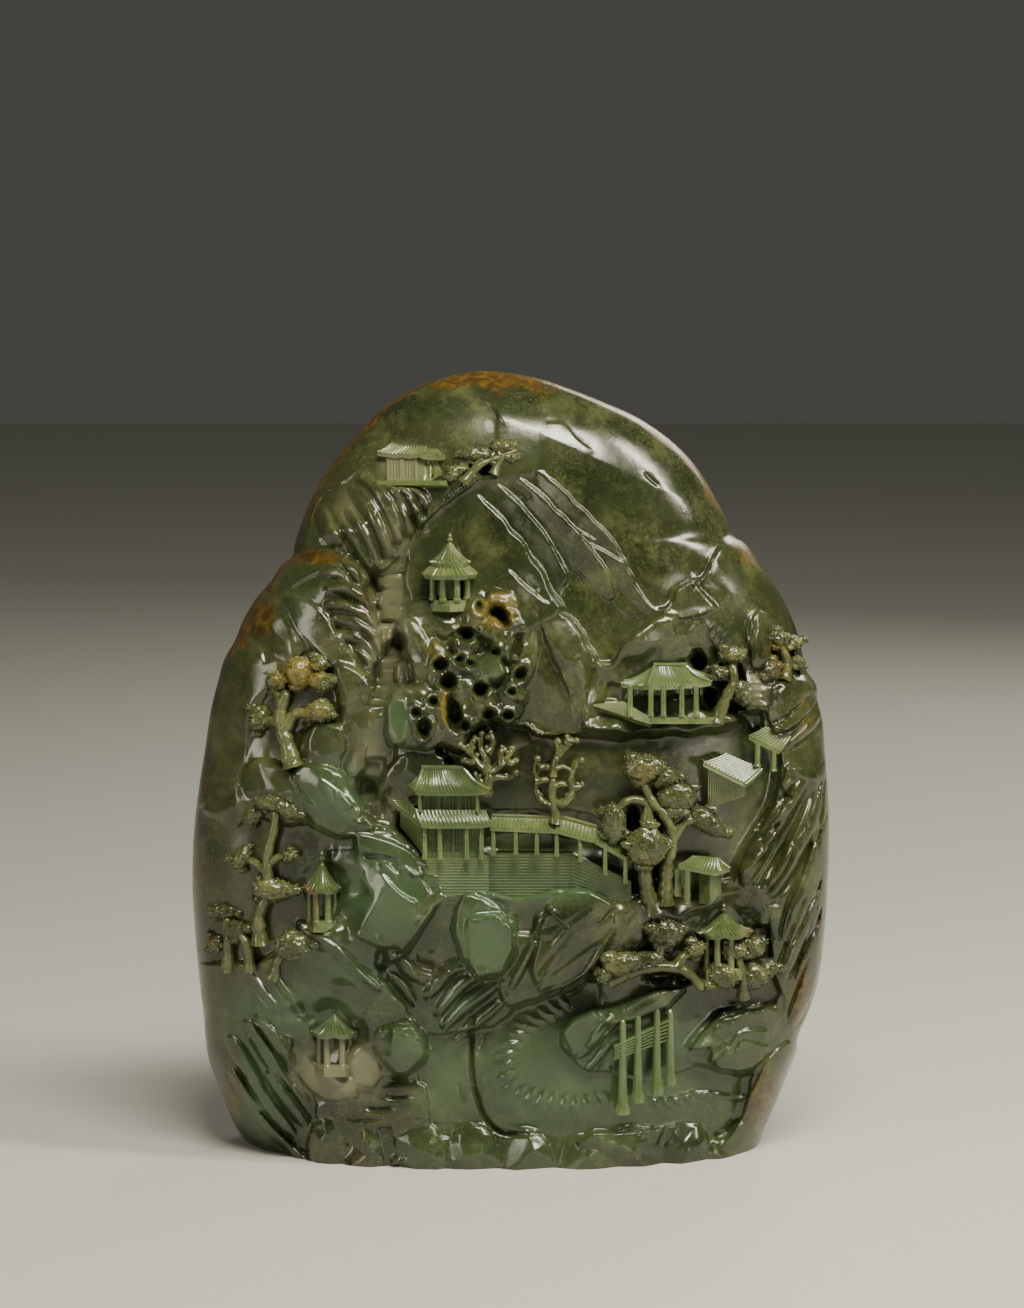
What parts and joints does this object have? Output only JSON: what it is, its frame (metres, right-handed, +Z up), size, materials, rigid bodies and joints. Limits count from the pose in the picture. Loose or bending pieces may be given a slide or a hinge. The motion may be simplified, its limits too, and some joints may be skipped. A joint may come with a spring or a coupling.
{
  "type": "jade boulder carving",
  "caption": "Free-standing boulder of green stone, flat on its underside, with a mountain landscape of cliffs, halls, pavilions, pines and water cut into its front",
  "frame": {"origin": "on the flat underside, below the middle of the boulder's width, on its middle plane", "axes": "+Z up, the carved face towards -Y, +X to the right as the carved face is seen"},
  "size_m": [0.1919, 0.0878, 0.2345],
  "materials": {
    "jade": "polished spinach-green nephrite, mottled, with russet-brown skin along the rim"
  },
  "bodies": {
    "root": {"jade_boulder": "jade"}
  },
  "joints": []
}
